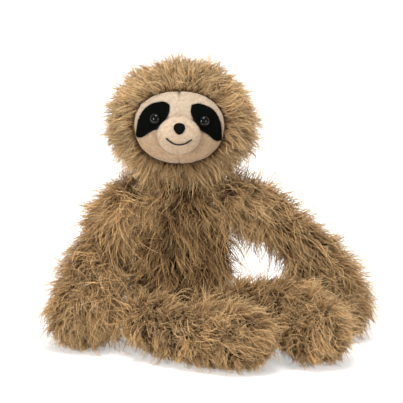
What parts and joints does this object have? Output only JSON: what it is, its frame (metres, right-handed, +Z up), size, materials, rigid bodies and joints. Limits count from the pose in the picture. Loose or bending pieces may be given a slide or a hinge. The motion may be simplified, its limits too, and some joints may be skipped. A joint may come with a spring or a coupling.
{
  "type": "plush sloth",
  "caption": "Seated long-pile stuffed sloth with a pale sewn-in face, long limp arms and legs and a weighted seat.",
  "frame": {"origin": "centre of the torso's flat sole, on the surface that the toy sits on", "axes": "+Z up, -Y the way the face looks, +X towards the toy's own left"},
  "size_m": [0.2614, 0.1831, 0.2325],
  "materials": {
    "head_fur": "long shaggy pile",
    "body_fur": "long shaggy pile",
    "face_cloth": "short velour pile",
    "patch_cloth": "short black pile",
    "eye_plastic": "polished",
    "nose_cloth": "satin stitched",
    "mouth_thread": "twisted thread",
    "seam_thread": "twisted thread",
    "fibre": "loose polyester fibre",
    "bag_cloth": "plain woven",
    "washer_plastic": "moulded"
  },
  "bodies": {
    "torso": {"torso_skin": "body_fur", "torso_stuffing": "fibre", "bean_bag": "bag_cloth", "closing_stitch": "seam_thread"},
    "neck": {"neck_seam": "seam_thread"},
    "head": {"head_skin": "head_fur", "head_stuffing": "fibre", "face_panel": "face_cloth", "muzzle": "face_cloth", "nose": "nose_cloth", "mouth_stitch": "mouth_thread", "right_eye_patch": "patch_cloth", "right_eye": "eye_plastic", "right_eye_washer": "washer_plastic", "left_eye_patch": "patch_cloth", "left_eye": "eye_plastic", "left_eye_washer": "washer_plastic"},
    "right_shoulder": {"right_shoulder_seam": "seam_thread"},
    "right_arm": {"right_upper_arm": "body_fur", "right_upper_arm_stuffing": "fibre"},
    "right_hand": {"right_forearm": "body_fur", "right_forearm_stuffing": "fibre"},
    "left_shoulder": {"left_shoulder_seam": "seam_thread"},
    "left_arm": {"left_upper_arm": "body_fur", "left_upper_arm_stuffing": "fibre"},
    "left_hand": {"left_forearm": "body_fur", "left_forearm_stuffing": "fibre"},
    "right_hip": {"right_hip_seam": "seam_thread"},
    "right_leg": {"right_thigh": "body_fur", "right_thigh_stuffing": "fibre"},
    "right_foot": {"right_shin": "body_fur", "right_shin_stuffing": "fibre"},
    "left_hip": {"left_hip_seam": "seam_thread"},
    "left_leg": {"left_thigh": "body_fur", "left_thigh_stuffing": "fibre"},
    "left_foot": {"left_shin": "body_fur", "left_shin_stuffing": "fibre"}
  },
  "joints": [
    {"name": "neck_turn", "type": "hinge", "parent": "torso", "child": "neck", "pos_m": [0, 0, 0.1365], "axis": [0, 0, 1], "range_deg": [-40, 40]},
    {"name": "neck_nod", "type": "hinge", "parent": "neck", "child": "head", "pos_m": [0, 0, 0.1365], "axis": [-1, 0, 0], "range_deg": [-25, 20]},
    {"name": "right_shoulder_spread", "type": "hinge", "parent": "torso", "child": "right_shoulder", "pos_m": [-0.0425, -0.004, 0.1225], "axis": [0, 1, 0], "range_deg": [-2, 90]},
    {"name": "right_shoulder_swing", "type": "hinge", "parent": "right_shoulder", "child": "right_arm", "pos_m": [-0.0425, -0.004, 0.1225], "axis": [1, 0, 0], "range_deg": [-90, 30]},
    {"name": "right_elbow", "type": "hinge", "parent": "right_arm", "child": "right_hand", "pos_m": [-0.06923, 0.00626, 0.06749], "axis": [-1, 0, 0], "range_deg": [-10, 50]},
    {"name": "left_shoulder_spread", "type": "hinge", "parent": "torso", "child": "left_shoulder", "pos_m": [0.0425, -0.004, 0.1225], "axis": [0, -1, 0], "range_deg": [-5, 70]},
    {"name": "left_shoulder_swing", "type": "hinge", "parent": "left_shoulder", "child": "left_arm", "pos_m": [0.0425, -0.004, 0.1225], "axis": [1, 0, 0], "range_deg": [-20, 30]},
    {"name": "left_elbow", "type": "hinge", "parent": "left_arm", "child": "left_hand", "pos_m": [0.09899, -0.00005, 0.08285], "axis": [0, 1, 0], "range_deg": [-30, 50]},
    {"name": "right_hip_turn", "type": "hinge", "parent": "torso", "child": "right_hip", "pos_m": [-0.03113, -0.04413, 0.027], "axis": [0, 0, -1], "range_deg": [0, 55]},
    {"name": "right_hip_lift", "type": "hinge", "parent": "right_hip", "child": "right_leg", "pos_m": [-0.03113, -0.04413, 0.027], "axis": [-0.647, -0.7625, 0], "range_deg": [0, 45]},
    {"name": "right_knee", "type": "hinge", "parent": "right_leg", "child": "right_foot", "pos_m": [-0.00038, -0.08348, 0.0245], "axis": [-0.5, -0.866, 0], "range_deg": [0, 60]},
    {"name": "left_hip_turn", "type": "hinge", "parent": "torso", "child": "left_hip", "pos_m": [0.03113, -0.04413, 0.027], "axis": [0, 0, 1], "range_deg": [0, 16]},
    {"name": "left_hip_lift", "type": "hinge", "parent": "left_hip", "child": "left_leg", "pos_m": [0.03113, -0.04413, 0.027], "axis": [-0.5079, -0.8614, 0], "range_deg": [0, 30]},
    {"name": "left_knee", "type": "hinge", "parent": "left_leg", "child": "left_foot", "pos_m": [0.07663, -0.05215, 0.04], "axis": [-0.7547, -0.6561, 0], "range_deg": [0, 60]}
  ]
}
